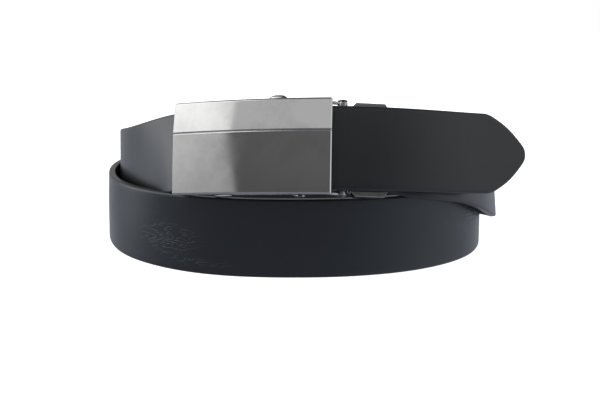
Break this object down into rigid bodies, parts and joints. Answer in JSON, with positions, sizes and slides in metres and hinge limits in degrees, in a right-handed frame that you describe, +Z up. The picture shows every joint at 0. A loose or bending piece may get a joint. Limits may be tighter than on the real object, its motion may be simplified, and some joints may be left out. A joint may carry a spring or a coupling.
{
  "type": "ratchet buckle belt",
  "caption": "Smooth leather belt with a two-facet metal plate buckle, fastened by a hidden ratchet and coiled in turns standing on edge.",
  "frame": {"origin": "on the surface that the belt stands on, under the middle of its bounding box", "axes": "+Z up, -Y out of the front of the coil where the buckle is, +X to the right as the buckle is seen, towards the strap's pointed end"},
  "size_m": [0.2014, 0.1582, 0.0786],
  "materials": {
    "leather": "smooth satin black leather with painted edges and faint creases",
    "track": "plain black nylon saw teeth",
    "plate": "polished gunmetal with faint hand marks",
    "fittings": "satin gunmetal"
  },
  "bodies": {
    "belt": {"strap": "leather", "ratchet_track": "track", "buckle_body": "plate", "strap_clamp": "fittings", "clamp_pin": "fittings", "lever_pin": "fittings"},
    "lever": {"release_lever": "fittings"}
  },
  "joints": [
    {"name": "lever_release", "type": "hinge", "parent": "belt", "child": "lever", "pos_m": [0.00024, -0.06033, 0.05589], "axis": [-0.0202, -0.3345, -0.9422], "range_deg": [0, 12], "stiffness_Nm_per_rad": 0.05}
  ]
}
